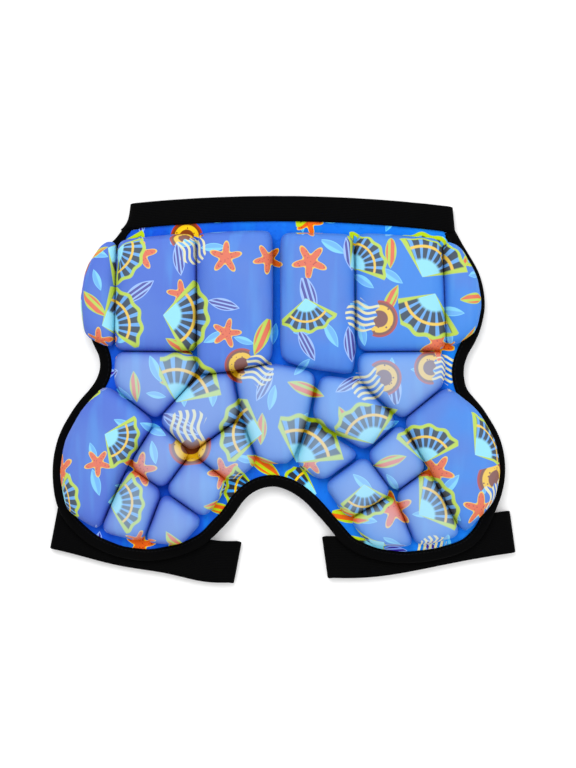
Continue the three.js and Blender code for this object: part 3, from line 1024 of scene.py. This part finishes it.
# %% The tape's section
BINDING_WIDTH = 9.4 * MM
BINDING_WALL = 1.0 * MM
SEWN_GAP = 0.3 * MM
TAPE_BACK = 2.2 * MM
TAPE_RIM = 0.5 * MM
TAPE_CLEAR = 0.4 * SEWN_GAP
HOLLOW_BACK = 1.6 * BINDING_WALL


def binding_section():
    """Inward and upward measures round the tape's section, and how far across the tape each is."""
    over = BINDING_WALL + SEWN_GAP
    depth = SHEET + 2 * over
    middle = over - depth / 2
    upper = []
    for share in np.linspace(1, 0, 7):
        inward = BINDING_WIDTH - (BINDING_WIDTH - TAPE_BACK) * (1 - share)
        upper.append((inward, over - TAPE_RIM * share**6))
    lower = [(x, 2 * middle - z) for x, z in reversed(upper)]
    turns = np.linspace(1.5, -1.5, 9)
    back = [(TAPE_BACK * (1 - math.cos(a)), middle + depth / 2 * math.sin(a)) for a in turns]
    path = upper + back + lower
    below = 2 * middle - TAPE_CLEAR
    hollow = [
        (BINDING_WIDTH, below),
        (HOLLOW_BACK, below),
        (HOLLOW_BACK, TAPE_CLEAR),
        (BINDING_WIDTH, TAPE_CLEAR),
    ]
    section = np.array(path + hollow)
    reach = np.concatenate([[0], np.cumsum(np.linalg.norm(np.diff(np.array(path), axis=0), axis=1))])
    half = reach[-1] / 2
    across = np.concatenate([half - np.abs(reach - half), np.full(len(hollow), half)])
    return section, across


# %% [markdown]
# Tape and elastic are both sweeps: a section carried along a path, with faces between each
# section and the next. The mesh keeps its own two measures, along and across, for the weave and
# the stitches.

# %% Sweeping a section
def swept_piece(name, rings, along, across, closed):
    """A mesh from rings of points; open sweeps get a cap at each end."""
    stations, count = rings.shape[:2]
    index = np.arange(stations * count).reshape(stations, count)
    following = np.roll(index, -1, axis=0) if closed else index[1:]
    here = index if closed else index[:-1]
    quads = np.stack([here, np.roll(here, -1, axis=1), np.roll(following, -1, axis=1), following], axis=-1)
    faces = [tuple(int(i) for i in quad) for quad in quads.reshape(-1, 4)]
    if not closed:
        faces += [tuple(int(i) for i in index[0][::-1]), tuple(int(i) for i in index[-1])]
    piece = new_piece(name, rings.reshape(-1, 3), faces)
    store(piece, "along", np.repeat(along, count))
    store(piece, "across", np.tile(across, stations))
    return piece


# %% [markdown]
# At the waist the tape's ends are caught under the band, so its path is carried on a little and
# dips there. At the left end the band has pulled the tape out and made it narrower. Two slow
# waves keep the tape's inner rim from looking ruled.

# %% Edge binding
TUCK_LENGTH = 4.5 * MM
TUCK_DIP = 1.0 * MM
TUCK_STATIONS = 4
LEFT_END_REACH = 13 * MM
LEFT_END_OUT = 2.2 * MM
LEFT_END_NARROWED = 0.4
SWAYS = ((0.15 * MM, 260), (0.1 * MM, 97))


def tucked_ends():
    """The edge's stations, carried on a little at both ends, where the tape dips under the waistband."""
    ahead = np.linspace(0, 1, TUCK_STATIONS + 1)[1:, None] * TUCK_LENGTH
    first = EDGE_PATH[0] + (EDGE_PATH[0] - EDGE_PATH[1]) / EDGE_RUN[1] * ahead
    last = EDGE_PATH[-1] + (EDGE_PATH[-1] - EDGE_PATH[-2]) / EDGE_RUN[1] * ahead
    path = np.vstack([first[::-1], EDGE_PATH, last])
    inward = np.vstack([[EDGE_INWARD[0]] * TUCK_STATIONS, EDGE_INWARD, [EDGE_INWARD[-1]] * TUCK_STATIONS])
    run = np.concatenate([-ahead[::-1, 0], EDGE_RUN, EDGE_RUN[-1] + ahead[:, 0]])
    past = np.concatenate([ahead[::-1, 0], np.zeros(len(EDGE_RUN)), ahead[:, 0]])
    return path, inward, run - run[0], TUCK_DIP * np.clip(past / TUCK_LENGTH * 2, 0, 1)


def binding_piece():
    section, across = binding_section()
    path, inwards, run, dips = tucked_ends()
    left_end = np.clip(1 - (run - TUCK_LENGTH) / LEFT_END_REACH, 0, 1)
    left_end = left_end * left_end * (3 - 2 * left_end)
    edge = path - inwards * (BINDING_WALL + SEWN_GAP + LEFT_END_OUT * left_end[:, None])
    sway = sum(reach * np.sin(run * rate) for reach, rate in SWAYS)
    rings = []
    for place, inward, shift, dip, narrowed in zip(edge, inwards, sway, dips, LEFT_END_NARROWED * left_end):
        depth = (section[:, :1] + shift * (section[:, :1] > BINDING_WIDTH * 0.6)) * (1 - narrowed)
        flat = place + inward * depth
        rings.append(np.column_stack([flat, cloth_top(flat) + section[:, 1] - dip]))
    return swept_piece("edge_binding_tape", np.array(rings), run, across, closed=False), float(run[-1])


BINDING, TAPE_LENGTH = binding_piece()
finish_piece(BINDING, "edge_binding", TAPE)

# %% [markdown]
# Wide elastic is a flat woven band with a rib along it every millimetre or so. Each loop lies
# flattened: a lower run on the floor, a fold at each end and an upper run under or over the
# panel. The frame's plain loops give the run of the band as pairs of points on their underside,
# and any place along it is found between those or straight on past their ends.

# %% The runs of the loops
FOLD_STATIONS = 14
RUN_STATIONS = 150


def underside_rims(node):
    """The two long rims of a loop's flat underside, as rows of points from left to right."""
    points = mesh_points(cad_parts[node].data)
    low = points[points[:, 2] < points[:, 2].min() + 0.05 * MM][:, :2]
    low = np.unique(low.round(6), axis=0)
    spread = low - low.mean(axis=0)
    _, _, axes = np.linalg.svd(spread, full_matrices=False)
    along = axes[0] * np.sign(axes[0][0])
    across = np.array([-along[1], along[0]])
    order = low[np.argsort(spread @ along)]
    near, far = [], []
    for a, b in zip(order[::2], order[1::2]):
        pair = sorted((a, b), key=lambda p: float(p @ across))
        near.append(pair[0])
        far.append(pair[1])
    return np.array(near), np.array(far)


def beyond(path, run, at):
    """A place on a path by its run, carried straight on past either end."""
    if at < 0:
        step = (path[1] - path[0]) / (run[1] - run[0])
        return path[0] + step * at
    if at > run[-1]:
        step = (path[-1] - path[-2]) / (run[-1] - run[-2])
        return path[-1] + step * (at - run[-1])
    return np.array([np.interp(at, run, path[:, 0]), np.interp(at, run, path[:, 1])])


def loop_path(straight):
    """Stations round a flattened loop: how far along the run, and the wall's direction."""
    turns = np.linspace(-math.pi / 2, math.pi / 2, FOLD_STATIONS, endpoint=False)
    runs = np.linspace(-straight, straight, RUN_STATIONS, endpoint=False)
    rows = [(s, -math.pi / 2) for s in runs]
    rows += [(straight, a) for a in turns]
    rows += [(-s, math.pi / 2) for s in runs]
    rows += [(-straight, a + math.pi) for a in turns]
    return rows


# %% [markdown]
# The band's section is thin and flat, with soft sides. The thigh loops are slack, so each hangs
# a few millimetres to one side between its ends. The waistband's lower rim is pulled out at its
# left end, where the tape is sewn into it.

# %% How the elastic lies
SECTION_POINTS = 12
FLAT_SHARE = 0.97
CORNER_REACH = 12 * MM


def band_section():
    """Round a band's section: share across it from -1 to 1, and share of half its wall."""
    flat = np.linspace(-FLAT_SHARE, FLAT_SHARE, SECTION_POINTS)
    sides = np.concatenate([flat, [1.0], flat[::-1], [-1.0]])
    wall = np.ones(SECTION_POINTS)
    thick = np.concatenate([wall, [0.0], -wall, [0.0]])
    return sides, thick


def sag(share, depth, lean, dip):
    """How far a slack band hangs to one side, at a share of its run from its outer end."""
    turn = math.pi * min(max(share, 0.0), 1.0) ** lean
    return depth * (math.sin(turn) + dip * math.sin(3 * turn))


def corner_pull(sides, at, pull):
    """How far a band's left end is pulled out at its lower rim, where the tape is sewn into it."""
    return pull * ((1 - sides) / 2) ** 4.5 * min(max(1 - at / CORNER_REACH, 0.0), 1.0)


# %% [markdown]
# Each loop is swept round its flattened path, and its upper run is slightly wavy, as elastic is
# where it was stretched under the needle. The table says how far each band waves, hangs and is
# pulled, and the length is measured along the middle of the finished loop.

# %% Elastic loops
ELASTIC_WALL = 1.6 * MM
RIM_SAMPLES = 200
LOOPS = {
    "waistband": {"puckers": 0.25 * MM, "depth": 0.0, "lean": 1.0, "dip": 0.0, "pull": 6 * MM},
    "leg_strap_left": {"puckers": 0.1 * MM, "depth": 3.1 * MM, "lean": 1.5, "dip": 0.35, "pull": 0.0},
    "leg_strap_right": {"puckers": 0.1 * MM, "depth": 3.9 * MM, "lean": 1.9, "dip": 0.0, "pull": 0.0},
}


def elastic_loop(node, puckers, depth, lean, dip, pull):
    near, far = underside_rims(node)
    near_path, _ = smooth_path(near, RIM_SAMPLES)
    far_path, _ = smooth_path(far, RIM_SAMPLES)
    middle = (near_path + far_path) / 2
    run = np.concatenate([[0], np.cumsum(np.linalg.norm(np.diff(middle, axis=0), axis=1))])
    straight = run[-1] / 2
    low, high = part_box(node)
    bend = (high.z - low.z - ELASTIC_WALL) / 2
    outer_left = middle[:, 0].mean() < 0
    sides, thick = band_section()
    rings, along, travelled, last = [], [], 0.0, None
    for s, turn in loop_path(straight):
        at = s + straight
        rim_near = beyond(near_path, run, at)
        rim_far = beyond(far_path, run, at)
        direction = (beyond(middle, run, at + MM) - beyond(middle, run, at - MM)) / (2 * MM)
        wave = puckers * (math.sin(s * 310) + 0.6 * math.sin(s * 171 + 1)) * (abs(sides) ** 3)
        share = at / run[-1]
        aside = sag(share if outer_left else 1 - share, depth, lean, dip)
        aside_way = (rim_near - rim_far) / np.linalg.norm(rim_near - rim_far)
        distance = bend + thick * ELASTIC_WALL / 2
        flat = rim_near + (rim_far - rim_near) * (sides[:, None] + 1) / 2 + aside_way * aside
        out = distance * math.cos(turn) - corner_pull(sides, at, pull)
        flat = flat + direction * out[:, None]
        height = low.z + bend + ELASTIC_WALL / 2 + distance * math.sin(turn)
        height = height + wave * (math.sin(turn) > 0)
        rings.append(np.column_stack([flat, height]))
        here = np.array([*(flat.mean(axis=0)), height.mean()])
        travelled += 0.0 if last is None else float(np.linalg.norm(here - last))
        last = here
        along.append(travelled)
    width = float(np.linalg.norm(far_path - near_path, axis=1).mean())
    across = (sides + 1) * width / 2
    loop = swept_piece(f"{node}_elastic", np.array(rings), np.array(along), across, closed=True)
    return finish_piece(loop, node, ELASTIC), travelled, width


for node, shape in LOOPS.items():
    loop, length, width = elastic_loop(node, **shape)
    print(node, "loop", round(length, 3), "m of", round(width / MM, 1), "mm elastic")
